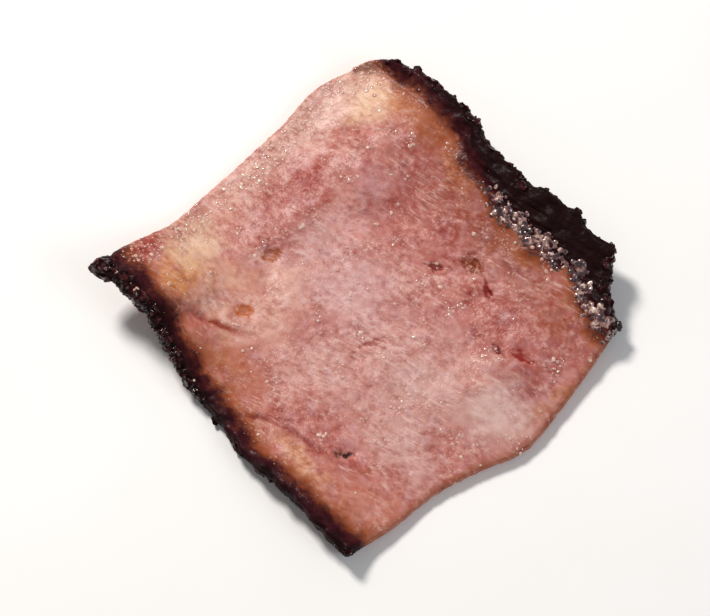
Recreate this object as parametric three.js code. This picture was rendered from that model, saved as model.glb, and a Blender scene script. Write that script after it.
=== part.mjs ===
// One slice of cooked chicken bacon, lying on a flat surface with its best side up.
//
// The slice is cut across a smoked and roasted slab, so two opposite edges are the slab's charred
// outside and the other two are clean knife cuts. Cooking has curled it: the charred rims and one
// corner stand up off the surface, the cut edges roll over low humps, and the middle lies flat.
//
// Millimetres, +Z up. +X runs along the charred rims and +Y across the slice, from the thin rim to
// the thick one. The origin is on the surface that the slice lies on, under the middle of its box.

import * as THREE from "three";

const { smoothstep, lerp } = THREE.MathUtils;

// ---- Driving dimensions -----------------------------------------------------------------------

const LENGTH = 76; // along the charred rims, over the widest bulge
const WIDTH = 74; // across the slice, from char to char
const THICKNESS = 2.6; // of the lean meat
const THICK_RIM_LIFT = 8; // how far cooking has curled up the thick rim
const THIN_RIM_LIFT = 4; // the same for the thin rim
const TIP_LIFT = 7.5; // and for the corner that is pulled up highest

// ---- Outline: four corners, and how far each edge bows out of the line between them ------------

// A corner, as shares of the half length and the half width.
const corner = (alongShare, acrossShare) =>
  new THREE.Vector2((alongShare * LENGTH) / 2, (acrossShare * WIDTH) / 2);

const CORNER = {
  tip: corner(-0.93, -0.955), // curled up
  point: corner(0.84, -0.945), // sharp, and flat on the surface
  end: corner(0.85, 0.775), // where the thick rim breaks off
  shoulder: corner(-0.935, 0.755), // rounded
};

// Each pair is [share of the way along the edge, millimetres out of the straight line].
const THIN_RIM_BOW = [
  [0, 0], [0.09, -1.5], [0.19, -2.1], [0.28, -0.9], [0.47, 0.2], [0.64, 1.2], [0.78, 0.6], [1, 0],
];
const THICK_RIM_BOW = [
  [0, 0], [0.03, 2.6], [0.08, 5], [0.14, 6.1], [0.24, 6.4], [0.35, 6.9], [0.41, 5.2], [0.5, 4.9],
  [0.6, 5.6], [0.68, 7.2], [0.78, 7.7], [0.845, 8], [0.885, 4.8], [0.92, 2], [1, 0],
];
const CLEAN_CUT_BOW = [
  [0, 0], [0.12, 0], [0.25, -0.2], [0.4, 0.5], [0.54, 1], [0.7, 1.7], [0.86, 2.8], [1, 0],
];
const BOWED_CUT_BOW = [
  [0, 0], [0.13, 1], [0.22, 1.1], [0.3, 1.4], [0.42, 2.9], [0.57, 5.7], [0.72, 4.2], [1, 0],
];

// A smooth curve through [place, value] pairs, read at one place.
function through(pairs, place) {
  const last = pairs.length - 1;
  const slope = (n) => {
    const [x0, y0] = pairs[Math.max(n - 1, 0)];
    const [x1, y1] = pairs[Math.min(n + 1, last)];
    return (y1 - y0) / (x1 - x0);
  };
  let n = 0;
  while (n < last - 1 && place > pairs[n + 1][0]) n++;
  const [x0, y0] = pairs[n];
  const [x1, y1] = pairs[n + 1];
  const span = x1 - x0;
  const u = (place - x0) / span;
  const values = y0 * (1 + 2 * u) * (1 - u) ** 2 + y1 * u * u * (3 - 2 * u);
  const slopes = slope(n) * u * (1 - u) ** 2 + slope(n + 1) * u * u * (u - 1);
  return values + span * slopes;
}

// The edge from one corner to another, bowed towards outward.
const edge = (from, to, bow, outward) => (share) =>
  from.clone().lerp(to, share).addScaledVector(outward, through(bow, share));

const thinRim = edge(CORNER.tip, CORNER.point, THIN_RIM_BOW, new THREE.Vector2(0, -1));
const thickRim = edge(CORNER.shoulder, CORNER.end, THICK_RIM_BOW, new THREE.Vector2(0, 1));
const cleanCut = edge(CORNER.tip, CORNER.shoulder, CLEAN_CUT_BOW, new THREE.Vector2(-1, 0));
const bowedCut = edge(CORNER.point, CORNER.end, BOWED_CUT_BOW, new THREE.Vector2(1, 0));

// The place, seen from above, that is s of the way along the slice and t of the way across it.
function place(s, t) {
  const betweenRims = thinRim(s).lerp(thickRim(s), t);
  const betweenCuts = cleanCut(t).lerp(bowedCut(t), s);
  const thinSide = CORNER.tip.clone().lerp(CORNER.point, s);
  const thickSide = CORNER.shoulder.clone().lerp(CORNER.end, s);
  return betweenRims.add(betweenCuts).sub(thinSide.lerp(thickSide, t));
}

// ---- Curl: how high the underside stands off the surface ---------------------------------------

// A round hill, 1 at its middle.
const hill = (x, y, midX, midY, reachX, reachY) =>
  Math.exp(-(((x - midX) / reachX) ** 2) - ((y - midY) / reachY) ** 2);

// One wave along X, 1 at its crest.
const wave = (x, crest, length) => Math.cos(((x - crest) * 2 * Math.PI) / length);

// The thick rim curls up most in the middle of its length, and the thin rim in two low waves.
const rimCurl = (x, y) =>
  THICK_RIM_LIFT * smoothstep(y, 4, 40) * (0.78 + 0.3 * wave(x, 4, 62)) +
  THIN_RIM_LIFT * smoothstep(-y, 10, 38) * (0.85 - 0.4 * wave(x, -2, 44));

const TIP_REACH = 28;
const tipCurl = (x, y) =>
  TIP_LIFT * smoothstep(1 - Math.hypot(x - CORNER.tip.x, y - CORNER.tip.y) / TIP_REACH, 0, 1);

// The clean cut rolls over a long hump, and the bowed cut over a short one.
const cutCurl = (x, y) => 4.4 * hill(x, y, -21, 14, 9, 24) + 3 * hill(x, y, 25, 8, 9, 15);

// A short pleat where the thin rim has drawn together next to the curled corner.
const PLEAT_DEPTH = 1.4;
const pleat = (x, y) => PLEAT_DEPTH * hill(x, y, -19.5 + 0.25 * (y + 30), -28, 2.4, 8);

// The slice's own weight presses the lowest of the curl flat, with a soft bend round the flat part.
const PRESSED = 1.6; // height of curl that is lost
const BEND = 1.3; // how much higher or lower than that the soft bend starts
function underside(x, y) {
  const over = rimCurl(x, y) + tipCurl(x, y) + cutCurl(x, y) - pleat(x, y) - PRESSED;
  if (over <= -BEND) return 0;
  return over >= BEND ? over : (over + BEND) ** 2 / (4 * BEND);
}

// ---- Crust: a swollen band of char along each rim, with knobs on it ----------------------------

const THICK_RIM_SWELL = 1.5;
const THIN_RIM_SWELL = 0.7;
const THIN_RIM_BAND = 4; // how wide the thin rim's crust is
// How wide the thick rim's crust is, at shares of the way along it.
const THICK_RIM_BAND = [[0, 3.2], [0.2, 4], [0.45, 6], [0.65, 9.5], [0.85, 9.5], [1, 4]];

const thinBand = () => THIN_RIM_BAND;
const thickBand = (share) => through(THICK_RIM_BAND, share);

// Full at the rim, and gone where the band ends.
const fade = (inwards, band) => 1 - smoothstep(inwards, 0.35 * band, band);

const KNOB_SPACING = 2.1; // between one knob and the next along a rim
const KNOB_HEIGHT = 1.2; // of the largest
const KNOB_RADIUS = [1.5, 2.8]; // least and greatest
const KNOB_JUT = 0.6; // share of its height by which a knob at the rim also sticks outwards

// A repeatable draw between 0 and 1 for a pair of whole numbers.
function draw(n, salt) {
  const value = Math.sin(n * 12.9898 + salt * 78.233) * 43758.5453;
  return value - Math.floor(value);
}

// The knobs of one rim, each at a share along it and a distance inwards from it.
function knobsOf(band, salt) {
  const count = Math.round(LENGTH / KNOB_SPACING);
  return Array.from({ length: count }, (_, n) => {
    const share = (n + 0.2 + 0.6 * draw(n, salt)) / count;
    return {
      share,
      inwards: 0.85 * band(share) * draw(n, salt + 1) ** 1.5,
      radius: lerp(...KNOB_RADIUS, draw(n, salt + 2)),
      height: KNOB_HEIGHT * lerp(0.35, 1, draw(n, salt + 3)),
    };
  });
}

const THICK_RIM_KNOBS = knobsOf(thickBand, 11);
const THIN_RIM_KNOBS = knobsOf(thinBand, 37);

// How high the knobs stand at a share along the rim and a distance inwards from it.
function knobs(all, share, inwards) {
  let height = 0;
  for (const knob of all) {
    const away = Math.hypot((share - knob.share) * LENGTH, inwards - knob.inwards) / knob.radius;
    if (away < 1) height = Math.max(height, knob.height * (1 - away * away));
  }
  return height;
}

// ---- Lean meat: muscle fibres, and pits where fat has cooked out -------------------------------

// Low ridges that fan out across the slice, crossed by longer swells.
const FIBRE_HEIGHT = 0.11;
function fibres(x, y) {
  const fan = 0.42 * x + 0.02 * x * y + 1.1 * y;
  const cross = 0.95 * x - 0.38 * y + 2.2 * Math.sin(0.09 * y + 0.6);
  return FIBRE_HEIGHT * (Math.sin(fan) * Math.sin(0.31 * cross + 1) + 0.6 * Math.sin(0.62 * cross));
}

// Each pit's place along and across, radius and depth.
const PITS = [
  [-18.7, -9.1, 1.5, 0.7], [-13.8, -19.8, 1.4, 0.7], [2.4, 12.2, 1.4, 0.5], [6.1, 16.4, 1.7, 0.7],
  [11.3, 15.3, 1.6, 0.6], [21.2, 9.4, 1.3, 0.5], [24.7, 11.8, 1.7, 0.7], [18.3, -22.3, 1.3, 0.8],
];
const pits = (x, y) =>
  PITS.reduce((sum, [px, py, radius, depth]) => sum + depth * hill(x, y, px, py, radius, radius), 0);

// ---- The two faces of the slice ----------------------------------------------------------------

// How far in from an edge its rounding starts, and the share of the thickness left as a wall there.
const CUT_ROUNDING = { reach: 1.1, wall: 0.42 };
const CHAR_ROUNDING = { reach: 1.9, wall: 0.22 };

// The share of the thickness that is left at a distance inwards, along a quarter of an ellipse.
function rounded(inwards, { reach, wall }) {
  const left = Math.max(1 - inwards / reach, 0);
  return lerp(wall, 1, Math.sqrt(1 - left * left));
}

const UNDERSIDE_SHOWS = 0.4; // share of a knob's height that also stands out below

// The points of the top and of the underside at one place, as [top, underside].
function faces(s, t) {
  const { x, y } = place(s, t);
  const across = thinRim(s).distanceTo(thickRim(s));
  const fromThin = t * across;
  const fromThick = (1 - t) * across;
  const fromCut = Math.min(s, 1 - s) * cleanCut(t).distanceTo(bowedCut(t));

  const thin = fade(fromThin, THIN_RIM_BAND);
  const thick = fade(fromThick, thickBand(s));
  const thinKnob = knobs(THIN_RIM_KNOBS, s, fromThin) * thin;
  const thickKnob = knobs(THICK_RIM_KNOBS, s, fromThick) * thick;
  const knob = thinKnob + thickKnob;
  const jut = KNOB_JUT * (thickKnob * fade(fromThick, 4) - thinKnob * fade(fromThin, 4));

  const swell = THICK_RIM_SWELL * thick + THIN_RIM_SWELL * thin;
  const full = THICKNESS + swell + knob + fibres(x, y) - pits(x, y);
  const left = rounded(fromCut, CUT_ROUNDING) * rounded(Math.min(fromThin, fromThick), CHAR_ROUNDING);
  const shaved = (full * (1 - left)) / 2;

  const low = underside(x, y);
  return [
    new THREE.Vector3(x, y + jut, low + full - shaved),
    new THREE.Vector3(x, y + jut, Math.max(low + shaved - UNDERSIDE_SHOWS * knob, 0)),
  ];
}

// ---- Mesh: a grid over each face, closed by a wall round the edge ------------------------------

// Shares along a length: by the given steps in from each end, then evenly in between.
function stations(length, endSteps, middleStep) {
  const reach = endSteps.at(-1);
  const count = Math.round((length - 2 * reach) / middleStep);
  const evenly = (_, n) => lerp(reach, length - reach, (n + 1) / count);
  const middle = Array.from({ length: count - 1 }, evenly);
  const fromFarEnd = endSteps.map((step) => length - step).reverse();
  return [0, ...endSteps, ...middle, ...fromFarEnd, length].map((step) => step / length);
}

const ALONG = stations(LENGTH, [0.35, 1.1], 1.08);
const ACROSS = stations(WIDTH, [0.4, 1.1, 2, 3.1, 4.4, 6, 8], 2.75);

// Vertices come in pairs, top and underside, along each row.
const top = (i, j) => 2 * (j * ALONG.length + i);
const under = (i, j) => top(i, j) + 1;

// The grid's outer vertices, anticlockwise as seen from above.
function rimOfGrid() {
  const lastI = ALONG.length - 1;
  const lastJ = ACROSS.length - 1;
  const rim = [];
  for (let i = 0; i < lastI; i++) rim.push([i, 0]);
  for (let j = 0; j < lastJ; j++) rim.push([lastI, j]);
  for (let i = lastI; i > 0; i--) rim.push([i, lastJ]);
  for (let j = lastJ; j > 0; j--) rim.push([0, j]);
  return rim;
}

function sliceGeometry() {
  const points = ACROSS.flatMap((t) => ALONG.flatMap((s) => faces(s, t)));
  const index = [];
  const quad = (a, b, c, d) => index.push(a, b, c, a, c, d);
  for (let j = 0; j + 1 < ACROSS.length; j++) {
    for (let i = 0; i + 1 < ALONG.length; i++) {
      quad(top(i, j), top(i + 1, j), top(i + 1, j + 1), top(i, j + 1));
      quad(under(i, j), under(i, j + 1), under(i + 1, j + 1), under(i + 1, j));
    }
  }
  const rim = rimOfGrid();
  rim.forEach((here, n) => {
    const next = rim[(n + 1) % rim.length];
    quad(under(...here), under(...next), top(...next), top(...here));
  });

  const geometry = new THREE.BufferGeometry().setFromPoints(points);
  geometry.setIndex(index);
  geometry.computeBoundingBox();
  const middle = geometry.boundingBox.getCenter(new THREE.Vector3());
  geometry.translate(-middle.x, -middle.y, -geometry.boundingBox.min.z);
  geometry.computeVertexNormals();
  return geometry;
}

// ---- The part ----------------------------------------------------------------------------------

const cookedMeat = new THREE.MeshStandardMaterial({ color: 0xc98a80, roughness: 0.45, metalness: 0 });

const slice = new THREE.Mesh(sliceGeometry(), cookedMeat);
slice.name = "bacon_slice";

const part = new THREE.Group();
part.add(slice);

export default part;
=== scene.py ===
import math

import bmesh
import bpy
import numpy as np
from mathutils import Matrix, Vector, noise


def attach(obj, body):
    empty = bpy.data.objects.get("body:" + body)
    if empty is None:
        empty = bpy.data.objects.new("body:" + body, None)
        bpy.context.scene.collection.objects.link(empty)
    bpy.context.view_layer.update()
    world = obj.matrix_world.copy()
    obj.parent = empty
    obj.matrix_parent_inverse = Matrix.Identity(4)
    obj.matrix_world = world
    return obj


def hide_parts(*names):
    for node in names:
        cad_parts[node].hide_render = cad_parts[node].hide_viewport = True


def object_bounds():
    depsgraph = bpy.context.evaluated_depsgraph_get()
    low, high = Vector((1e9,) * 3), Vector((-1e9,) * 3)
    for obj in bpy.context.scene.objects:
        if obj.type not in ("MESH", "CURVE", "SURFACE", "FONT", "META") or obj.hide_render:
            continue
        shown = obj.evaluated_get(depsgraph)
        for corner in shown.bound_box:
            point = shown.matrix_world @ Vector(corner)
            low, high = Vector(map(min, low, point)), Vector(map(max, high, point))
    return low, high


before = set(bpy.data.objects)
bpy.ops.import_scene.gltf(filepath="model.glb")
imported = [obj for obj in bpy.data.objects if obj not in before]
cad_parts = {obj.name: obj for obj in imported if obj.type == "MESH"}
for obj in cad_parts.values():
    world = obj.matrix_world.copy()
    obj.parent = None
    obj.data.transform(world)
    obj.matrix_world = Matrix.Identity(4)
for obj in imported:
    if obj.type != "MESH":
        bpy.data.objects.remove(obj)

MM = 0.001
cad_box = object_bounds()
low, high = (Vector(corner) for corner in cad_box)
middle = (low + high) / 2

# ---- Camera ----
# The slice lies flat and its best side is up, so the camera looks down on it along the line from
# which the photograph shows it: one charred rim at the lower left, the other at the upper right.
AZIMUTH = math.radians(48.7)
ELEVATION = math.radians(70)
LENS = 135  # mm, long enough that the near corner isn't stretched
SENSOR = 36  # mm, over the picture's width
VIEW_WIDTH = 125 * MM  # across the picture at the slice
AIM_LEFT = 3.8 * MM  # how far left of the slice's middle the picture's middle is
AIM_NEAR = 3.2 * MM  # and how far on this side of it
to_right = Vector((math.cos(AZIMUTH), math.sin(AZIMUTH), 0))
away = Vector((-math.sin(AZIMUTH), math.cos(AZIMUTH), 0))
aim = middle - to_right * AIM_LEFT - away * AIM_NEAR

camera_data = bpy.data.cameras.new("camera")
camera_data.lens = LENS
camera_data.sensor_width = SENSOR
camera_data.clip_start = 10 * MM
camera = bpy.data.objects.new("camera", camera_data)
towards_camera = Vector((0, 0, math.sin(ELEVATION))) - away * math.cos(ELEVATION)
camera.location = aim + towards_camera * (VIEW_WIDTH * LENS / SENSOR)
camera.rotation_euler = towards_camera.to_track_quat("Z", "Y").to_euler()
bpy.context.scene.collection.objects.link(camera)
bpy.context.scene.camera = camera

# ---- Studio ----
# A plain pale sheet of paper, lit by a large soft window behind on the left, which gives the moist
# meat its small glints, and by paler light all round.
FLOOR_HALF = 1.5  # metres
FLOOR_GAP = 0.02 * MM  # below the slice, so that the two don't share a plane
ROOM_LIGHT = 0.28  # strength of the light from all round


def linear(hex_colour):
    """A colour written as #rrggbb in sRGB, as the linear colour that a material takes."""
    parts = [int(hex_colour[i : i + 2], 16) / 255 for i in (1, 3, 5)]
    return tuple(p / 12.92 if p <= 0.04045 else ((p + 0.055) / 1.055) ** 2.4 for p in parts) + (1.0,)


def add(tree, kind, inputs=None, stops=None, **settings):
    """A new node, with its settings made, its inputs set or linked, and its ramp's stops."""
    node = tree.nodes.new(kind)
    for name, value in settings.items():
        setattr(node, name, value)
    for name, value in (inputs or {}).items():
        if isinstance(value, bpy.types.NodeSocket):
            tree.links.new(value, node.inputs[name])
        else:
            node.inputs[name].default_value = value
    if stops:
        ramp = node.color_ramp.elements
        ramp.remove(ramp[1])
        ramp[0].position = stops[0][0]
        for place, _ in stops[1:]:
            ramp.new(place)
        for stop, (_, colour) in zip(ramp, stops):
            stop.color = linear(colour)
    return node


def new_material(name):
    """An empty material, and its node tree."""
    material = bpy.data.materials.new(name)
    material.use_nodes = True
    material.node_tree.nodes.clear()
    return material, material.node_tree


def put_in_scene(name, mesh):
    """An object for a mesh, at the origin and in the scene."""
    made = bpy.data.objects.new(name, mesh)
    bpy.context.scene.collection.objects.link(made)
    return made


# Uncoated paper: near white and matt, with the faintest cloudiness.
paper, tree = new_material("matt_white_paper")
pulp = add(tree, "ShaderNodeTexNoise", {"Scale": 60, "Detail": 3}).outputs["Fac"]
whites = add(
    tree, "ShaderNodeValToRGB", {"Fac": pulp}, [(0.3, "#f8f7f5"), (0.7, "#fcfbfa")]
).outputs["Color"]
shader = add(tree, "ShaderNodeBsdfPrincipled", {"Base Color": whites, "Roughness": 0.8})
add(tree, "ShaderNodeOutputMaterial", {"Surface": shader.outputs["BSDF"]})

floor_mesh = bpy.data.meshes.new("paper_floor")
floor_sides = [(-1, -1), (1, -1), (1, 1), (-1, 1)]
floor_corners = [(x * FLOOR_HALF, y * FLOOR_HALF, -FLOOR_GAP) for x, y in floor_sides]
floor_mesh.from_pydata(floor_corners, [], [(0, 1, 2, 3)])
floor_mesh.materials.append(paper)
floor = put_in_scene("paper_floor", floor_mesh)


def add_light(name, place, size, watts, colour):
    """A square soft light pointed at the slice, from so many metres to its right, away and up."""
    data = bpy.data.lights.new(name, "AREA")
    data.size = size
    data.energy = watts
    data.color = linear(colour)[:3]
    light = bpy.data.objects.new(name, data)
    offset = to_right * place[0] + away * place[1] + Vector((0, 0, place[2]))
    light.location = middle + offset
    light.rotation_euler = offset.to_track_quat("Z", "Y").to_euler()
    bpy.context.scene.collection.objects.link(light)


add_light("window", place=(-0.30, 0.38, 0.58), size=0.15, watts=5.2, colour="#fffaf4")
add_light("reflector", place=(0.55, -0.30, 0.55), size=0.4, watts=1.5, colour="#f4f7ff")
world = bpy.data.worlds.new("studio")
world.use_nodes = True
room = world.node_tree.nodes["Background"].inputs
room["Color"].default_value = linear("#f7f8fa")
room["Strength"].default_value = ROOM_LIGHT
bpy.context.scene.world = world
bpy.context.scene.view_settings.view_transform = "Standard"

# ---- Lean meat ----
# The whole slice is one piece of brined chicken, pressed, smoked and roasted as a slab, then sliced
# and cooked. Its cut face is moist and mottled, with short muscle fibres, pits and beads of juice.
VOXEL = 0.38 * MM  # spacing of the fine surface's points
MERGED = 0.002 * MM  # points of the model that are closer than this are one
HEADROOM = 0.3  # mm that relief may rise above the model's highest point
FIBRE_TURN = math.radians(16)  # the fibres run nearly along the rims
FIBRE_HEIGHT = 0.14  # mm, in the meat
SWELL_HEIGHT = 0.2
CRAG_HEIGHT = 0.25  # mm, in the char
STREAK_HEIGHT = 0.4
FAR_OFF = 3.0  # a pit's radii away, where nothing of it shows

# The slice's corners, as shares of half its box: tip, point, end and shoulder, anticlockwise.
CORNERS = np.array([(-0.93, -0.955), (0.84, -0.945), (0.85, 0.775), (-0.935, 0.755)])
# Shares of the way along each rim, anticlockwise, and how many mm the char is wide there. Below 0
# it ends short of the rim, as it does at the shoulder.
THICK_BAND = (
    [0, 0.06, 0.12, 0.2, 0.35, 0.5, 0.6, 0.9, 0.95, 1],
    [3, 4.5, 6.5, 8.5, 8.5, 6.2, 4.4, 2.2, 1, -2.5],
)
THIN_BAND = ([0, 0.1, 0.25, 0.45, 0.9, 1], [4.6, 3.4, 3.0, 1.8, 1.5, 2.6])
# In the same way, how far the crust crumbles along each rim, and how far fat has frothed along the
# thick one, as shares of the most that there can be.
THICK_CRUMBLING = ([0, 0.1, 0.2, 0.4, 0.5, 0.7, 0.95, 1], [1, 0.6, 0.15, 0.15, 0.3, 0.3, 0.1, 0])
THIN_CRUMBLING = ([0, 0.35, 0.5, 1], [1, 0.8, 0.1, 0.05])
FROTHING = ([0, 0.04, 0.12, 0.2, 0.3, 0.42, 0.5, 0.56], [0.5, 1, 0.9, 0.3, 1, 0.7, 0.6, 0])
# Where a vein or a pocket of fat has cooked out: place, half length and width, turn in degrees,
# depth, colour, and how far the colour is paler again in the middle.
PITS = [
    (-18.8, -8.7, 1.5, 1.0, 87, 0.2, "#a4562c", 0.85),  # amber ring
    (-13.8, -19.2, 1.5, 1.0, 60, 0.25, "#b8622c", 0.3),  # orange blot
    (2.4, 12.2, 1.9, 0.6, 43, 0.4, "#82302c", 0.0),  # three wine-red slits in a row
    (6.7, 17.1, 1.8, 1.2, 4, 0.4, "#8a3c1c", 0.0),
    (12.0, 15.8, 2.1, 0.6, -20, 0.6, "#8a2a28", 0.0),
    (21.7, 9.5, 1.1, 0.6, 10, 0.4, "#7c3636", 0.0),  # two more by the bowed cut
    (25.3, 11.8, 2.1, 0.8, 12, 0.5, "#8e2e28", 0.0),
    (18.3, -23.0, 0.9, 0.5, 75, 0.6, "#38171a", 0.0),  # a dark pinhole and its mark
    (17.3, -24.4, 0.8, 0.3, 20, 0.3, "#6a342c", 0.0),
    (5.5, -6.4, 2.4, 0.6, 65, 0.3, "#a2584e", 0.0),  # shallow slit near the middle
]
# The creases by the thin rim, in the same way: place, half length and width, turn and depth.
CREASES = [
    (-15.0, -24.5, 6.0, 0.7, 28, 0.5),
    (3.1, -30.2, 3.4, 0.5, 40, 0.5),
    (10.7, -27.1, 5.6, 0.55, 13, 0.5),
]
# Stains that cooking and smoke have left on the lean: place, reach along and across the slice,
# colour, share, and how far a film of set juice or fat smooths the meat there.
STAINS = [
    (-30.5, 24.5, 6, 6, "#e8c69c", 0.95, 0.5),  # straw-coloured fat at the shoulder
    (-25, 28, 6, 2, "#c07a34", 0.9, 0.5),  # gold line round it
    (-22, 21, 4, 3, "#c2887a", 0.7, 0.3),  # dull pink inside that
    (-17, 27.5, 6, 2.6, "#a05428", 0.9, 0.5),  # tan where the gold ends
    (-5, 26, 7, 2.6, "#8c4838", 0.85, 0.3),  # wine red by the froth
    (-18, 30.5, 8, 2, "#8a4620", 0.85, 0.5),  # brown inside the thick rim
    (-34, 8, 4.2, 20, "#fad4c4", 0.8, 0.0),  # pale clean cut
    (-33, 16, 4, 6, "#ecc8ba", 0.7, 0.3),  # duller near the shoulder
    (-24.8, 4.6, 4.8, 4.8, "#92261c", 0.95, 0.5),  # red muscle
    (-24, 14, 2.6, 2.2, "#c08474", 0.85, 0.0),  # beads of fat over it
    (-22, -6, 4, 5, "#a84c40", 0.75, 0.0),  # its browner end
    (-16.5, 13.5, 3.4, 2.8, "#d49a98", 0.9, 0.6),  # lilac muscle
    (-15, 5, 4.5, 4, "#eeaea4", 0.85, 0.2),  # light pink beside the red
    (-9, 17.5, 6, 2.6, "#a84e44", 0.7, 0.2),  # red streaks beside the lilac
    (5, 22.5, 15, 3.6, "#883a1c", 0.85, 0.3),  # brown inside the bubbled fat
    (23, 20.5, 7, 3.5, "#98482a", 0.8, 0.2),  # lighter at its end
    (24, 13, 5, 3.5, "#9e4640", 0.7, 0.0),  # red muscle round the pits
    (-4, 12, 8, 4, "#c47a72", 0.65, 0.1),  # rose across the upper half
    (-5, -2, 13, 8, "#e2bab6", 0.85, 0.3),  # pale mauve middle
    (-14, -11, 6, 4.5, "#f0c6b6", 0.85, 0.2),  # peach pink between it and the tip
    (-10, -18, 7, 4, "#e0b2a0", 0.8, 0.3),
    (-21, -17.5, 4, 3.6, "#ecbc9e", 0.7, 0.2),
    (15, 5, 5, 3.5, "#d0a09a", 0.7, 0.2),  # dusty pink in the right half
    (30, 1, 7, 7, "#e4c8be", 0.85, 0.7),  # creamy muscle by the bowed cut
    (17, -5, 8, 6, "#dab8b0", 0.8, 0.5),  # greyish pink round it
    (5, -15, 8, 5, "#dab0a8", 0.7, 0.2),
    (23, -15, 8, 5, "#dcb6ae", 0.8, 0.4),
    (33, -11, 4, 4, "#b2645a", 0.75, 0.2),  # dull red at the cut
    (35, 13, 1.5, 8, "#b3764c", 0.9, 0.5),  # gold along the bowed cut
    (32, 14, 3, 3.5, "#cc867c", 0.7, 0.2),  # pink inside the gold
    (-7, -27, 8, 4, "#b66c4c", 0.9, 0.9),  # tan skin inside the thin rim
    (-11, -29.5, 5, 2, "#9c5c30", 0.8, 0.8),  # browner by the char
    (-15, -24.5, 6, 1.3, "#c0805a", 0.8, 0.5),  # painted shade along the crease, and the pale fold above it
    (-15, -22.5, 6, 1.8, "#e6b8a2", 0.85, 0.4),
    (-30, -17.5, 4.5, 4.2, "#f8dabc", 0.9, 0.1),  # cream by the tip
    (-26.5, -21.5, 4, 3.6, "#f0c89c", 0.9, 0.1),  # straw next to the cream
    (-31, -10, 3.5, 5, "#e6b29c", 0.75, 0.4),  # peach above it
    (-24.5, -25.5, 3.6, 2.8, "#d88e40", 0.95, 0.4),  # gold at the cream's lower end
    (-34, -26, 4, 5, "#b04830", 0.9, 0.0),  # dusky tip
    (3, -31.5, 4, 2, "#a45a42", 0.8, 0.3),  # reddish brown between the creases and the rim
    (14.5, -30, 7.5, 2.3, "#dca67c", 0.9, 0.0),  # gold beads inside the thin rim
    (24, -31, 5, 3, "#a85842", 0.85, 0.0),  # brown between them and the point
    (28, -27, 6, 5, "#c88068", 0.9, 0.5),  # salmon skin at the point
]


def rises(value, start, end):
    """0 up to start, 1 from end on, and smooth between them."""
    t = np.clip((value - start) / (end - start), 0, 1)
    return t * t * (3 - 2 * t)


def points_of(mesh, field="vertices", key="co"):
    """A vector for each vertex of a mesh, as the rows of an array."""
    flat = np.empty(len(mesh.vertices) * 3, dtype=np.float32)
    getattr(mesh, field).foreach_get(key, flat)
    return flat.reshape(-1, 3).astype(float)


def move_points(mesh, points):
    """Moves a mesh's vertices to places in mm, none below the floor or above the headroom."""
    points[:, 2] = np.clip(points[:, 2], 0, (high.z - low.z) / MM + HEADROOM)
    mesh.vertices.foreach_set("co", (points * MM).astype(np.float32).ravel())
    mesh.update()


def store(mesh, name, values):
    """Keeps a number for each vertex, which a material or the scattering of lumps reads."""
    attribute = mesh.attributes.new(name, "FLOAT", "POINT")
    attribute.data.foreach_set("value", values.astype(np.float32))


def store_colours(mesh, name, colours):
    """Keeps a colour for each vertex, with a share as its fourth number."""
    attribute = mesh.attributes.new(name, "FLOAT_COLOR", "POINT")
    attribute.data.foreach_set("color", colours.astype(np.float32).ravel())


def finished(maker, name):
    """A plain mesh object made from an object and its modifiers, in place of that object."""
    graph = bpy.context.evaluated_depsgraph_get()
    mesh = bpy.data.meshes.new_from_object(maker.evaluated_get(graph))
    bpy.data.objects.remove(maker)
    mesh.name = name
    return put_in_scene(name, mesh)


def remeshed(maker, voxel, name):
    """A plain mesh object with an even, closed surface over the shape of an object."""
    even = maker.modifiers.new("even", "REMESH")
    even.mode = "VOXEL"
    even.voxel_size = voxel
    even.use_smooth_shade = True
    return finished(maker, name)


def outline_between(points, start, end):
    """The slice's outline seen from above, anticlockwise from one corner to the next."""
    bins = 540  # directions in which the outline's reach is measured
    steps = 400  # places on the line that is returned
    angle = np.arctan2(points[:, 1], points[:, 0])
    which = ((angle + math.pi) / (2 * math.pi) * bins).astype(int) % bins
    reach = np.zeros(bins)
    np.maximum.at(reach, which, np.hypot(points[:, 0], points[:, 1]))
    turns = (np.arange(bins) + 0.5) / bins * 2 * math.pi - math.pi
    first = math.atan2(start[1], start[0])
    sweep = (math.atan2(end[1], end[0]) - first) % (2 * math.pi)
    turn = first + np.linspace(0, sweep, steps)
    far = np.interp(turn, turns, reach, period=2 * math.pi)
    return np.stack([far * np.cos(turn), far * np.sin(turn)], axis=1)


def nearest(points, line):
    """For each point, its distance from a line seen from above, and the share of the line there."""
    distance = np.empty(len(points))
    share = np.empty(len(points))
    at_once = 4000  # points, so that the table of gaps stays small
    for i in range(0, len(points), at_once):
        some = points[i : i + at_once]
        gap = np.hypot(some[:, None, 0] - line[None, :, 0], some[:, None, 1] - line[None, :, 1])
        distance[i : i + at_once] = gap.min(axis=1)
        share[i : i + at_once] = gap.argmin(axis=1) / (len(line) - 1)
    return distance, share


def grain_at(points, size, octaves, salt, stretch=1):
    """Fractal noise about 0 at each point, its features a size in mm, longer along the fibres."""
    cos, sin = math.cos(FIBRE_TURN), math.sin(FIBRE_TURN)
    along = (points[:, 0] * cos + points[:, 1] * sin) / stretch
    across = points[:, 1] * cos - points[:, 0] * sin
    rows = np.stack([along, across, points[:, 2]], axis=1) / size + salt
    return np.array([noise.fractal(Vector(row), 1.0, 2.0, octaves) for row in rows])


def wander_at(points, salt):
    """How many mm a stain's edge wanders at each point, broadly and with finer frays."""
    return 2.5 * grain_at(points, 5, 4, salt) + 1.2 * grain_at(points, 1.6, 2, salt + 3)


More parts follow.
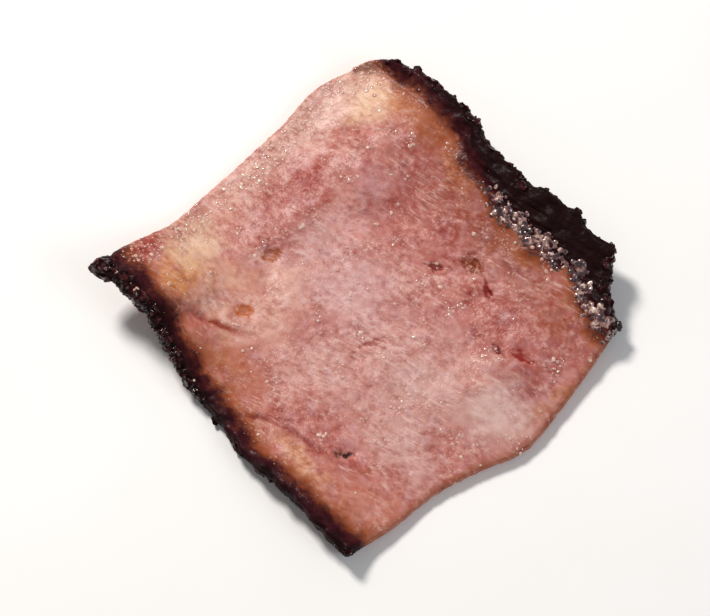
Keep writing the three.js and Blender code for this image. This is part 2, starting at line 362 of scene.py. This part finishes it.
def off_oval(x, y, half_length, half_width, turn):
    """How far each point is from the middle of a ragged oval, as a share of its half sizes."""
    cos, sin = math.cos(math.radians(turn)), math.sin(math.radians(turn))
    along = ((ragged_x - x) * cos + (ragged_y - y) * sin) / half_length
    across = ((ragged_y - y) * cos - (ragged_x - x) * sin) / half_width
    return np.hypot(along, across)


# The model's own shape, with an even fine surface that can take the relief.
slice_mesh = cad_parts["bacon_slice"].data.copy()
slice_mesh.materials.clear()
work = bmesh.new()
work.from_mesh(slice_mesh)
bmesh.ops.remove_doubles(work, verts=work.verts, dist=MERGED)
work.to_mesh(slice_mesh)
work.free()
lean = remeshed(put_in_scene("slice_maker", slice_mesh), VOXEL, "lean_meat")
mesh = lean.data
points = points_of(mesh) / MM
normals = points_of(mesh, "vertex_normals", "vector")

# Where each point is: how far inside each rim's char, by which cut, and on which face.
half_box = np.array([high.x - low.x, high.y - low.y]) / 2 / MM
corners = CORNERS * half_box
thin_rim, bowed_cut, thick_rim, clean_cut = (
    outline_between(points, corners[i], corners[(i + 1) % 4]) for i in range(4)
)
from_thick, along_thick = nearest(points, thick_rim)
from_thin, along_thin = nearest(points, thin_rim)
from_clean = nearest(points, clean_cut)[0]
from_bowed = nearest(points, bowed_cut)[0]
thick_depth = np.interp(along_thick, *THICK_BAND) - from_thick
thin_depth = np.interp(along_thin, *THIN_BAND) - from_thin
in_char = np.maximum(thick_depth, thin_depth)
shown = rises(normals[:, 2], -0.2, 0.4)

warp_x = wander_at(points, 21.0)
warp_y = wander_at(points, 33.0)
stain = np.zeros((len(points), 4))
through = 0.4 + 0.6 * shown  # the same muscles show more faintly underneath
smoothed = np.zeros(len(points))
for x, y, reach_x, reach_y, colour, share, smooth in STAINS:
    off = ((points[:, 0] + warp_x - x) / reach_x) ** 2 + ((points[:, 1] + warp_y - y) / reach_y) ** 2
    cover = share * through * np.exp(-(off**1.25))
    smoothed += (smooth - smoothed) * cover
    stain += (np.array(linear(colour)) - stain) * cover[:, None]
stain[:, :3] /= np.maximum(stain[:, 3:], 1e-4)

char = rises(in_char, -0.5, 1.5)
fibres = grain_at(points, 1.5, 3, 3.0, stretch=1.9)
swells = grain_at(points, 8, 2, 7.0)
crags = grain_at(points, 2.2, 4, 11.0)
streaks = grain_at(points, 1.0, 3, 17.0, stretch=7)
meat_relief = FIBRE_HEIGHT * (1 - smoothed) * fibres + SWELL_HEIGHT * swells
char_relief = CRAG_HEIGHT * crags + STREAK_HEIGHT * streaks
relief = (1 - char) * meat_relief + char * char_relief

# The pits and creases have wavering outlines.
ragged_x = points[:, 0] + 0.5 * grain_at(points, 1.5, 2, 61.0)
ragged_y = points[:, 1] + 0.5 * grain_at(points, 1.5, 2, 67.0)
spot = np.zeros((len(points), 4))
off_pits = np.full(len(points), FAR_OFF)  # 0 at the middle of the nearest pit, 1 at its edge
for *oval, depth, colour, middle_share in PITS:
    off = np.where(shown > 0.5, off_oval(*oval), FAR_OFF)
    relief -= depth * np.exp(-(off**2))
    spot[off < off_pits] = linear(colour)[:3] + (middle_share,)
    off_pits = np.minimum(off_pits, off)
# The creases' mask also carries painted shade into the meat's colour along them.
crease_shade_mask = np.zeros(len(points))
for *oval, depth in CREASES:
    fold = shown * np.exp(-(off_oval(*oval) ** 2))
    relief -= depth * fold
    crease_shade_mask = np.maximum(crease_shade_mask, fold)
points += normals * relief[:, None]
move_points(mesh, points)

# How thickly each kind of lump grows at each point, from none to full: beads of juice by the clean
# cut and in drifts elsewhere, knobs on the crust's outside, and bubbles of fat just inside the
# thick rim's char.
drifts = grain_at(points, 4, 2, 52.0)
by_cut = rises(-from_clean, -8, -3) * rises(drifts, -0.6, 0)
granular = shown * rises(-in_char, -0.5, 1.5) * np.maximum(by_cut, 0.5 * rises(drifts, 0.1, 0.5))
crumbly_thin = np.interp(along_thin, *THIN_CRUMBLING)
knobbly_thin = rises(thin_depth, 0.9, 2.2) * crumbly_thin
knobbly_thick = char * rises(-from_thick, -2, -0.8) * np.interp(along_thick, *THICK_CRUMBLING)
past_meat = rises(thick_depth, -1.5, -0.5)
short_of_rim = rises(-thick_depth, -2.7, -1.5)
clumped = rises(grain_at(points, 3.5, 2, 41.0), -0.5, -0.1)
numbers = {
    "in_char": in_char,
    "seared": 0.75 * rises(-from_bowed, -1.6, -0.3) * rises(-in_char, 0.5, 2.5),
    "smoothed": smoothed,
    "off_pits": off_pits,
    "crease_shade_mask": crease_shade_mask,
    "granular": granular * (1 - 0.6 * smoothed),
    "knobbly": np.maximum(knobbly_thick, knobbly_thin),
    "bubbling": shown * past_meat * short_of_rim * clumped * np.interp(along_thick, *FROTHING),
}
for name, values in numbers.items():
    store(mesh, name, values)
store_colours(mesh, "stain", stain)
store_colours(mesh, "spot", spot)

# The size in mm of one feature of each pattern in the meat.
SWIRL = 16.667  # a bend in the way that the fibres run
MUSCLE = 6.25  # a patch of one pink
PATCH = 2.2222  # a patch that leans to salmon or to mauve
GRAIN = 1.0  # a grain of the meat
STRAND = 0.5  # a single fibre's width
STRANDED = 7.692  # a place where the grains show as fibres
FILMED = 4.762  # a place where juice fills the gaps between grains
CHAR_BAY = 5.0  # a bay in the char's edge
FATTY = 10.0  # a place that browns further in
BEAD = 0.6667  # a bead of set juice
PORE = 0.2857  # a pore
GRAIN_STRETCH = 1.3  # times as long along the fibres as across
STRAND_STRETCH = 6

# A Mix node's colours go by number, as its numbers and vectors have the same names as they do.
A = 6
B = 7
MIXED = 2


def place_in_mm(tree):
    """The place on the object in millimetres, which the patterns of a material read."""
    place = add(tree, "ShaderNodeTexCoord").outputs["Object"]
    per_metre = (1000, 1000, 1000)
    return add(tree, "ShaderNodeVectorMath", {0: place, 1: per_metre}, operation="MULTIPLY").outputs[0]


# Cooked lean chicken: mottled pink, a little light passes through it, and a film of juice lies on
# its grains. Towards the rims it turns gold, tan and wine red before it is black.
meat, tree = new_material("cooked_lean_chicken")
in_mm = place_in_mm(tree)
swirl = add(
    tree, "ShaderNodeTexNoise", {"Vector": in_mm, "Scale": 1 / SWIRL, "Detail": 1}
).outputs["Color"]
bends = add(tree, "ShaderNodeVectorMath", {0: swirl, "Scale": 4.0}, operation="SCALE").outputs[0]
bent = add(tree, "ShaderNodeVectorMath", {0: in_mm, 1: bends}, operation="ADD").outputs[0]
muscle = add(
    tree,
    "ShaderNodeTexNoise",
    {"Vector": in_mm, "Scale": 1 / MUSCLE, "Detail": 4, "Roughness": 0.6},
).outputs["Fac"]
pinks = add(
    tree,
    "ShaderNodeValToRGB",
    {"Fac": muscle},
    [(0.34, "#9c3e36"), (0.46, "#b2645a"), (0.55, "#c0796f"), (0.66, "#ca9086")],
).outputs["Color"]
stained = add(tree, "ShaderNodeAttribute", attribute_name="stain").outputs
stained_lean = add(
    tree,
    "ShaderNodeMix",
    {"Factor": stained["Alpha"], A: pinks, B: stained["Color"]},
    data_type="RGBA",
).outputs[MIXED]
# Patches a few millimetres wide lean to salmon or to mauve.
patches = add(
    tree,
    "ShaderNodeTexNoise",
    {"Vector": in_mm, "Scale": 1 / PATCH, "Detail": 3, "Roughness": 0.6},
).outputs["Fac"]
tints = add(
    tree,
    "ShaderNodeValToRGB",
    {"Fac": patches},
    [(0.34, "#a44a3c"), (0.5, "#be8076"), (0.66, "#cc9ea6")],
).outputs["Color"]
smooth = add(tree, "ShaderNodeAttribute", attribute_name="smoothed").outputs["Fac"]
patchy = add(
    tree, "ShaderNodeMapRange", {"Value": smooth, "To Min": 0.3, "To Max": 0.15}
).outputs["Result"]
lean_colour = add(
    tree, "ShaderNodeMix", {"Factor": patchy, A: stained_lean, B: tints}, data_type="RGBA"
).outputs[MIXED]

# The grains of the meat are about 1 mm across. Here and there they show as fibres, or a film of
# set juice lies over them and smooths them.
grain_way = add(
    tree,
    "ShaderNodeMapping",
    {"Vector": bent, "Rotation": (0, 0, FIBRE_TURN), "Scale": (GRAIN_STRETCH, 1, 1)},
    vector_type="TEXTURE",
).outputs[0]
grains = add(
    tree,
    "ShaderNodeTexNoise",
    {"Vector": grain_way, "Scale": 1 / GRAIN, "Detail": 4, "Roughness": 0.58},
).outputs["Fac"]
strand_way = add(
    tree,
    "ShaderNodeMapping",
    {"Vector": bent, "Rotation": (0, 0, FIBRE_TURN), "Scale": (STRAND_STRETCH, 1, 1)},
    vector_type="TEXTURE",
).outputs[0]
strands = add(
    tree,
    "ShaderNodeTexNoise",
    {"Vector": strand_way, "Scale": 1 / STRAND, "Detail": 3, "Roughness": 0.55},
).outputs["Fac"]
laid = add(
    tree, "ShaderNodeTexNoise", {"Vector": in_mm, "Scale": 1 / STRANDED, "Detail": 2}
).outputs["Fac"]
stranded = add(
    tree, "ShaderNodeMapRange", {"Value": laid, "From Min": 0.48, "From Max": 0.6, "To Max": 0.5}
).outputs["Result"]
thin = add(
    tree, "ShaderNodeMapRange", {"Value": strands, "From Min": 0.56, "From Max": 0.7}
).outputs["Result"]
pale_strands = add(tree, "ShaderNodeMath", {0: thin, 1: stranded}, operation="MULTIPLY").outputs[0]
grain = add(
    tree, "ShaderNodeMath", {0: pale_strands, 1: 0.12, 2: grains}, operation="MULTIPLY_ADD"
).outputs[0]
film = add(
    tree, "ShaderNodeTexNoise", {"Vector": in_mm, "Scale": 1 / FILMED, "Detail": 2}
).outputs["Fac"]
unfilmed = add(
    tree, "ShaderNodeMapRange", {"Value": film, "From Min": 0.4, "From Max": 0.55, "To Min": 0.45}
).outputs["Result"]
unsmoothed = add(
    tree, "ShaderNodeMapRange", {"Value": smooth, "To Min": 0.9, "To Max": 0.2}
).outputs["Result"]
rough = add(tree, "ShaderNodeMath", {0: unfilmed, 1: unsmoothed}, operation="MULTIPLY").outputs[0]

# The char's edge wanders to and fro, and breaks up between the grains.
depth = add(tree, "ShaderNodeAttribute", attribute_name="in_char").outputs["Fac"]
bays = add(
    tree,
    "ShaderNodeTexNoise",
    {"Vector": in_mm, "Scale": 1 / CHAR_BAY, "Detail": 3, "Roughness": 0.5},
).outputs["Fac"]
swung = add(
    tree, "ShaderNodeMath", {0: bays, 1: 5.0, 2: depth}, operation="MULTIPLY_ADD"
).outputs[0]
ragged = add(
    tree, "ShaderNodeMath", {0: grain, 1: 4.0, 2: swung}, operation="MULTIPLY_ADD"
).outputs[0]
in_crust = add(tree, "ShaderNodeMath", {0: ragged, 1: 4.5}, operation="SUBTRACT").outputs[0]
roast = add(
    tree, "ShaderNodeMapRange", {"Value": in_crust, "From Min": -3, "From Max": 1.6}
).outputs["Result"]
browns = add(
    tree,
    "ShaderNodeValToRGB",
    {"Fac": roast},
    [
        (0.0, "#a85e3c"),
        (0.3, "#8a4426"),
        (0.46, "#602c20"),
        (0.58, "#4a1a18"),
        (0.69, "#3a1018"),
        (0.82, "#300c12"),
        (1.0, "#1c0608"),
    ],
).outputs["Color"]
# The brown reaches further in where there was more fat.
fatty = add(
    tree, "ShaderNodeTexNoise", {"Vector": in_mm, "Scale": 1 / FATTY, "Detail": 3}
).outputs["Fac"]
reach = add(
    tree,
    "ShaderNodeMapRange",
    {"Value": fatty, "From Min": 0.38, "From Max": 0.62, "To Min": -2.2, "To Max": -7},
).outputs["Result"]
browned = add(
    tree,
    "ShaderNodeMapRange",
    {"Value": in_crust, "From Min": reach, "From Max": -1.6},
    interpolation_type="SMOOTHSTEP",
).outputs["Result"]
cooked = add(
    tree, "ShaderNodeMix", {"Factor": browned, A: lean_colour, B: browns}, data_type="RGBA"
).outputs[MIXED]
# The bowed cut has a thin brown edge.
edged = add(tree, "ShaderNodeAttribute", attribute_name="seared").outputs["Fac"]
seared = add(
    tree, "ShaderNodeMix", {"Factor": edged, A: cooked, B: linear("#a9603f")}, data_type="RGBA"
).outputs[MIXED]
# The grain makes the pits' edges ragged.
off_pits = add(tree, "ShaderNodeAttribute", attribute_name="off_pits").outputs["Fac"]
torn = add(
    tree, "ShaderNodeMath", {0: grains, 1: 2.4, 2: off_pits}, operation="MULTIPLY_ADD"
).outputs[0]
in_pits = add(
    tree, "ShaderNodeMapRange", {"Value": torn, "From Min": 2.6, "From Max": 1.9}
).outputs["Result"]
spot = add(tree, "ShaderNodeAttribute", attribute_name="spot").outputs
inner = add(
    tree, "ShaderNodeMapRange", {"Value": torn, "From Min": 1.9, "From Max": 1.6}
).outputs["Result"]
paler = add(tree, "ShaderNodeMath", {0: inner, 1: spot["Alpha"]}, operation="MULTIPLY").outputs[0]
hollow = add(
    tree, "ShaderNodeMix", {"Factor": paler, A: spot["Color"], B: seared}, data_type="RGBA"
).outputs[MIXED]
pitted = add(
    tree, "ShaderNodeMix", {"Factor": in_pits, A: seared, B: hollow}, data_type="RGBA"
).outputs[MIXED]

# Beads of set juice, half a millimetre to a millimetre across, lie close together in places.
by_beads = add(tree, "ShaderNodeAttribute", attribute_name="granular").outputs["Fac"]
drops = add(
    tree,
    "ShaderNodeTexVoronoi",
    {"Vector": in_mm, "Scale": 1 / BEAD, "Smoothness": 0.25},
    feature="SMOOTH_F1",
).outputs["Distance"]
domes = add(
    tree, "ShaderNodeMapRange", {"Value": drops, "From Min": 0.42, "From Max": 0.12}
).outputs["Result"]
milkiness = add(tree, "ShaderNodeMath", {0: domes, 1: by_beads}, operation="MULTIPLY").outputs[0]
either = add(tree, "ShaderNodeMath", {0: milkiness, 1: pale_strands}, operation="MAXIMUM").outputs[0]
bare = add(
    tree, "ShaderNodeMapRange", {"Value": roast, "From Min": 0.55, "From Max": 0.25, "To Max": 0.75}
).outputs["Result"]
faint = add(tree, "ShaderNodeMath", {0: either, 1: bare}, operation="MULTIPLY").outputs[0]
set_over = add(
    tree, "ShaderNodeMix", {"Factor": faint, A: pitted, B: linear("#f0d6c8")}, data_type="RGBA"
).outputs[MIXED]

# Painted shade darkens the crevices, bead gaps and creases; painted light makes grain tops paler.
between = add(
    tree, "ShaderNodeMapRange", {"Value": grain, "From Min": 0.52, "From Max": 0.32, "To Max": 0.65}
).outputs["Result"]
painted_crevice_shade = add(tree, "ShaderNodeMath", {0: between, 1: rough}, operation="MULTIPLY").outputs[0]
crease_shade = add(tree, "ShaderNodeAttribute", attribute_name="crease_shade_mask").outputs["Fac"]
deepest_shade = add(tree, "ShaderNodeMath", {0: painted_crevice_shade, 1: crease_shade}, operation="MAXIMUM").outputs[0]
gaps = add(tree, "ShaderNodeMath", {0: by_beads, 1: milkiness}, operation="SUBTRACT").outputs[0]
painted_shade = add(
    tree, "ShaderNodeMath", {0: gaps, 1: 0.35, 2: deepest_shade}, operation="MULTIPLY_ADD"
).outputs[0]
lit_grain_tops = add(
    tree, "ShaderNodeMapRange", {"Value": grain, "From Min": 0.52, "From Max": 0.70, "To Max": 0.8}
).outputs["Result"]
bare_rough = add(tree, "ShaderNodeMath", {0: bare, 1: rough}, operation="MULTIPLY").outputs[0]
painted_top_light = add(tree, "ShaderNodeMath", {0: lit_grain_tops, 1: bare_rough}, operation="MULTIPLY").outputs[0]
# Painted shade: a dull red multiplied in over the crevices, the creases and the gaps between beads.
shaded_colour = add(
    tree,
    "ShaderNodeMix",
    {"Factor": painted_shade, A: set_over, B: linear("#b66e64")},
    data_type="RGBA",
    blend_type="MULTIPLY",
).outputs[MIXED]
# Painted light: a pale pink screened over the grains' tops.
colour = add(
    tree,
    "ShaderNodeMix",
    {"Factor": painted_top_light, A: shaded_colour, B: linear("#c0988f")},
    data_type="RGBA",
    blend_type="SCREEN",
).outputs[MIXED]

# Relief too fine for the mesh: the grains, and pores about 0.3 mm apart. The juice on top evens
# them out, so the gloss is broken up less than the meat.
pores = add(
    tree,
    "ShaderNodeTexNoise",
    {"Vector": grain_way, "Scale": 1 / PORE, "Detail": 3, "Roughness": 0.6},
).outputs["Fac"]
pored = add(
    tree, "ShaderNodeBump", {"Strength": 0.5, "Distance": 0.1 * MM, "Height": pores}
).outputs["Normal"]
beady = add(
    tree,
    "ShaderNodeBump",
    {"Strength": by_beads, "Distance": 0.15 * MM, "Height": domes, "Normal": pored},
).outputs["Normal"]
bump = add(
    tree,
    "ShaderNodeBump",
    {"Strength": rough, "Distance": 0.36 * MM, "Height": grain, "Normal": beady},
).outputs["Normal"]
wet_grain = add(
    tree, "ShaderNodeBump", {"Strength": rough, "Distance": 0.3 * MM, "Height": grain}
).outputs["Normal"]
wet = add(
    tree,
    "ShaderNodeBump",
    {"Strength": rough, "Distance": 0.08 * MM, "Height": domes, "Normal": wet_grain},
).outputs["Normal"]
film_weight = add(
    tree, "ShaderNodeMapRange", {"Value": smooth, "To Min": 0.32, "To Max": 0.12}
).outputs["Result"]
moist = add(
    tree,
    "ShaderNodeMapRange",
    {"Value": roast, "From Min": 0.45, "From Max": 0.8, "To Min": 1, "To Max": 0.2},
).outputs["Result"]
wetness = add(tree, "ShaderNodeMath", {0: film_weight, 1: moist}, operation="MULTIPLY").outputs[0]
shader = add(
    tree,
    "ShaderNodeBsdfPrincipled",
    {
        "Base Color": colour,
        "Roughness": 0.6,
        "Specular IOR Level": 0.06,
        "Subsurface Weight": 0.12,
        "Subsurface Radius": (1.0, 0.35, 0.2),
        "Subsurface Scale": 0.9 * MM,
        "Coat Weight": wetness,
        "Coat Roughness": 0.27,
        "Normal": bump,
        "Coat Normal": wet,
    },
)
add(tree, "ShaderNodeOutputMaterial", {"Surface": shader.outputs["BSDF"]})
mesh.materials.clear()
mesh.materials.append(meat)
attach(lean, "root")
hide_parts("bacon_slice")

# ---- Charred crust ----
# The outside of the slab, burnt to a black crust that juice has boiled through. It is knobbly where
# fat has spat and smooth where it hasn't, and glossy where fat has run.
KNOB_VOXEL = 0.17 * MM
KNOB_RELIEF = 0.15  # mm
BURNT = 1.25  # mm across a patch of one black
WET_SPOT = 0.7692  # mm across a spot of fat
CRUST_PORE = 0.25  # mm
FULL_TURN = 6.2832  # radians


def lump_tree():
    """Lumps scattered over a surface, as thickly as one of its attributes says, and made real."""
    tree = bpy.data.node_groups.new("scattered_lumps", "GeometryNodeTree")
    sockets = {
        "Surface": "Geometry",
        "Attribute": "String",
        "Spacing": "Float",
        "Least": "Float",
        "Most": "Float",
        "Flatness": "Float",
        "Sink": "Float",
        "Ripple": "Float",
        "Ripple Size": "Float",
        "Faces": "Int",
        "Material": "Material",
        "Seed": "Int",
    }
    for name, kind in sockets.items():
        tree.interface.new_socket(name, in_out="INPUT", socket_type="NodeSocket" + kind)
    tree.interface.new_socket("Lumps", in_out="OUTPUT", socket_type="NodeSocketGeometry")
    given = add(tree, "NodeGroupInput").outputs

    # No two lumps are closer than the spacing, and more are tried than fit.
    share = add(
        tree, "GeometryNodeInputNamedAttribute", {"Name": given["Attribute"]}, data_type="FLOAT"
    ).outputs["Attribute"]
    square = add(tree, "ShaderNodeMath", {0: given["Spacing"], 1: 2.0}, operation="POWER").outputs[0]
    most = add(tree, "ShaderNodeMath", {0: 1.5, 1: square}, operation="DIVIDE").outputs[0]
    spots = add(
        tree,
        "GeometryNodeDistributePointsOnFaces",
        {
            "Mesh": given["Surface"],
            "Distance Min": given["Spacing"],
            "Density Max": most,
            "Density Factor": share,
            "Seed": given["Seed"],
        },
        distribute_method="POISSON",
    ).outputs

    # Few lumps are large, and each is flattened, a little longer one way, and turned at random.
    chance = add(
        tree, "FunctionNodeRandomValue", {"Seed": given["Seed"]}, data_type="FLOAT"
    ).outputs[1]
    few_large = add(tree, "ShaderNodeMath", {0: chance, 1: 2.0}, operation="POWER").outputs[0]
    radius = add(
        tree,
        "ShaderNodeMapRange",
        {"Value": few_large, "To Min": given["Least"], "To Max": given["Most"]},
    ).outputs["Result"]
    height = add(
        tree, "ShaderNodeMath", {0: radius, 1: given["Flatness"]}, operation="MULTIPLY"
    ).outputs[0]
    longer = add(
        tree, "FunctionNodeRandomValue", {2: 0.8, 3: 1.5, "Seed": 5}, data_type="FLOAT"
    ).outputs[1]
    length = add(tree, "ShaderNodeMath", {0: radius, 1: longer}, operation="MULTIPLY").outputs[0]
    size = add(tree, "ShaderNodeCombineXYZ", {"X": length, "Y": radius, "Z": height}).outputs[0]
    lump = add(
        tree, "GeometryNodeMeshIcoSphere", {"Radius": 1.0, "Subdivisions": given["Faces"]}
    ).outputs["Mesh"]
    placed = add(
        tree,
        "GeometryNodeInstanceOnPoints",
        {"Points": spots["Points"], "Instance": lump, "Rotation": spots["Rotation"], "Scale": size},
    ).outputs[0]
    turn = add(
        tree, "FunctionNodeRandomValue", {3: FULL_TURN, "Seed": 9}, data_type="FLOAT"
    ).outputs[1]
    about = add(tree, "ShaderNodeCombineXYZ", {"Z": turn}).outputs[0]
    turned = add(
        tree, "GeometryNodeRotateInstances", {"Instances": placed, "Rotation": about}
    ).outputs[0]
    down = add(tree, "ShaderNodeMath", {0: height, 1: given["Sink"]}, operation="MULTIPLY").outputs[0]
    inwards = add(tree, "ShaderNodeMath", {0: down, 1: -1.0}, operation="MULTIPLY").outputs[0]
    offset = add(tree, "ShaderNodeCombineXYZ", {"Z": inwards}).outputs[0]
    sunk = add(
        tree, "GeometryNodeTranslateInstances", {"Instances": turned, "Translation": offset}
    ).outputs[0]
    real = add(tree, "GeometryNodeRealizeInstances", {"Geometry": sunk}).outputs[0]

    # Noise pushes their surfaces to and fro.
    pitch = add(
        tree, "ShaderNodeMath", {0: 1.0, 1: given["Ripple Size"]}, operation="DIVIDE"
    ).outputs[0]
    ripple = add(tree, "ShaderNodeTexNoise", {"Scale": pitch, "Detail": 2.0}).outputs["Color"]
    centred = add(
        tree, "ShaderNodeVectorMath", {0: ripple, 1: (0.5, 0.5, 0.5)}, operation="SUBTRACT"
    ).outputs[0]
    push = add(
        tree, "ShaderNodeVectorMath", {0: centred, "Scale": given["Ripple"]}, operation="SCALE"
    ).outputs[0]
    uneven = add(tree, "GeometryNodeSetPosition", {"Geometry": real, "Offset": push}).outputs[0]
    rounded = add(tree, "GeometryNodeSetShadeSmooth", {"Geometry": uneven}).outputs[0]
    dressed = add(
        tree, "GeometryNodeSetMaterial", {"Geometry": rounded, "Material": given["Material"]}
    ).outputs[0]
    add(tree, "NodeGroupOutput", {"Lumps": dressed})
    return tree


def lumps_on(surface, name, **inputs):
    """An object that scatters lumps over a surface. Each input of the tree is given by its name."""
    maker = put_in_scene(name, surface.data.copy())
    scatter = maker.modifiers.new("lumps", "NODES")
    scatter.node_group = lumps
    for socket in lumps.interface.items_tree:
        key = socket.name.lower().replace(" ", "_")
        if key in inputs:
            scatter[socket.identifier] = inputs[key]
    return maker


lumps = lump_tree()

# Meat and juice burnt to char: black with a wine-brown cast, dull where it is dry, with a hard gloss
# where a spot of fat has run over it.
char_material, tree = new_material("glossy_charred_crust")
in_mm = place_in_mm(tree)
burnt = add(
    tree, "ShaderNodeTexNoise", {"Vector": in_mm, "Scale": 1 / BURNT, "Detail": 4}
).outputs["Fac"]
blacks = add(
    tree,
    "ShaderNodeValToRGB",
    {"Fac": burnt},
    [(0.35, "#120304"), (0.55, "#2c0a0e"), (0.75, "#581e22")],
).outputs["Color"]
pores = add(
    tree,
    "ShaderNodeTexNoise",
    {"Vector": in_mm, "Scale": 1 / CRUST_PORE, "Detail": 4, "Roughness": 0.6},
).outputs["Fac"]
bump = add(
    tree, "ShaderNodeBump", {"Strength": 0.4, "Distance": 0.12 * MM, "Height": pores}
).outputs["Normal"]
dullness = add(
    tree,
    "ShaderNodeMapRange",
    {"Value": burnt, "From Min": 0.3, "From Max": 0.7, "To Min": 0.5, "To Max": 0.22},
).outputs["Result"]
wet_spots = add(
    tree, "ShaderNodeTexNoise", {"Vector": in_mm, "Scale": 1 / WET_SPOT, "Detail": 2}
).outputs["Fac"]
wetness = add(
    tree,
    "ShaderNodeMapRange",
    {"Value": wet_spots, "From Min": 0.5, "From Max": 0.58, "To Min": 0.03, "To Max": 1},
).outputs["Result"]
shader = add(
    tree,
    "ShaderNodeBsdfPrincipled",
    {
        "Base Color": blacks,
        "Roughness": dullness,
        "Specular IOR Level": 0.04,
        "Coat Weight": wetness,
        "Coat Roughness": 0.06,
        "Normal": bump,
        "Coat Normal": bump,
    },
)
add(tree, "ShaderNodeOutputMaterial", {"Surface": shader.outputs["BSDF"]})

knobs = lumps_on(
    lean,
    "crust_maker",
    attribute="knobbly",
    spacing=0.5 * MM,
    least=0.22 * MM,
    most=0.85 * MM,
    flatness=0.6,
    sink=0.4,
    ripple=1.0 * MM,
    ripple_size=0.6 * MM,
    faces=3,
    seed=4,
)
crust = remeshed(knobs, KNOB_VOXEL, "charred_crust")
points = points_of(crust.data) / MM
normals = points_of(crust.data, "vertex_normals", "vector")
points += normals * (KNOB_RELIEF * grain_at(points, 0.6, 3, 5.0))[:, None]
move_points(crust.data, points)
crust.data.materials.clear()
crust.data.materials.append(char_material)
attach(crust, "root")

# ---- Boiled fat ----
# Inside the thick rim's crust fat has boiled up and set as a strip of small wet bubbles, cream to
# amber over the dark crust.
BUBBLE_VOXEL = 0.1 * MM
FAT_SHADE = 1.4286  # mm across a bubble or two of one shade

# Rendered chicken fat, boiled up with juice and set: cream where it is thick, brown where the crust
# shows through, and glossy as varnish. Its near-white shade is partly painted glints.
fat, tree = new_material("boiled_chicken_fat")
in_mm = place_in_mm(tree)
shade = add(
    tree,
    "ShaderNodeTexNoise",
    {"Vector": in_mm, "Scale": 1 / FAT_SHADE, "Detail": 4, "Roughness": 0.7},
).outputs["Fac"]
fat_shades_and_glints = add(
    tree,
    "ShaderNodeValToRGB",
    {"Fac": shade},
    [(0.4, "#2c1218"), (0.49, "#562e32"), (0.58, "#b48a7e"), (0.7, "#fbf0e4")],
).outputs["Color"]
shader = add(
    tree,
    "ShaderNodeBsdfPrincipled",
    {
        "Base Color": fat_shades_and_glints,
        "Roughness": 0.3,
        "IOR": 1.46,
        "Subsurface Weight": 0.3,
        "Subsurface Radius": (1.0, 0.6, 0.4),
        "Subsurface Scale": 0.5 * MM,
        "Coat Weight": 1.0,
        "Coat Roughness": 0.05,
        "Coat IOR": 1.75,
    },
)
add(tree, "ShaderNodeOutputMaterial", {"Surface": shader.outputs["BSDF"]})

froth = lumps_on(
    lean,
    "bubble_maker",
    attribute="bubbling",
    spacing=0.31 * MM,
    least=0.15 * MM,
    most=0.6 * MM,
    flatness=0.55,
    sink=0.1,
    ripple=0.1 * MM,
    ripple_size=0.6 * MM,
    faces=2,
    seed=8,
)
bubbles = remeshed(froth, BUBBLE_VOXEL, "fat_bubbles")
bubbles.data.materials.clear()
bubbles.data.materials.append(fat)
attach(bubbles, "root")

# ---- Beads of juice and fat ----
# Small drops that have boiled out of the meat and set: thickly along the clean cut, and here and
# there on the rest. A few lie on the thin rim's crust, most of them by the tip.
DROP_CLOUD = 1.6667  # mm across a cloudy place

on_meat = 0.7 * granular * (1 - smoothed) + 0.008 * shown
on_crust = 0.14 * shown * rises(thin_depth, 0.3, 1.0) * np.maximum(crumbly_thin, 0.4)
store(lean.data, "beaded", np.where(in_char > 0, on_crust, on_meat))

# Set juice with a little fat in it: pale pink, cloudy in places, glossy and a little see-through.
juice, tree = new_material("set_meat_juice")
in_mm = place_in_mm(tree)
cloud = add(
    tree, "ShaderNodeTexNoise", {"Vector": in_mm, "Scale": 1 / DROP_CLOUD, "Detail": 2}
).outputs["Fac"]
milky = add(
    tree, "ShaderNodeValToRGB", {"Fac": cloud}, [(0.4, "#cc9488"), (0.62, "#e6c4b4")]
).outputs["Color"]
shader = add(
    tree,
    "ShaderNodeBsdfPrincipled",
    {
        "Base Color": milky,
        "Roughness": 0.25,
        "IOR": 1.4,
        "Subsurface Weight": 0.4,
        "Subsurface Radius": (1.0, 0.6, 0.4),
        "Subsurface Scale": 0.6 * MM,
        "Coat Weight": 1.0,
        "Coat Roughness": 0.06,
    },
)
add(tree, "ShaderNodeOutputMaterial", {"Surface": shader.outputs["BSDF"]})

drops = lumps_on(
    lean,
    "drop_maker",
    attribute="beaded",
    spacing=0.55 * MM,
    least=0.1 * MM,
    most=0.42 * MM,
    flatness=0.4,
    sink=0.3,
    ripple=0.12 * MM,
    ripple_size=0.6 * MM,
    faces=2,
    seed=12,
)
beads = remeshed(drops, BUBBLE_VOXEL, "juice_beads")
beads.data.materials.clear()
beads.data.materials.append(juice)
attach(beads, "root")
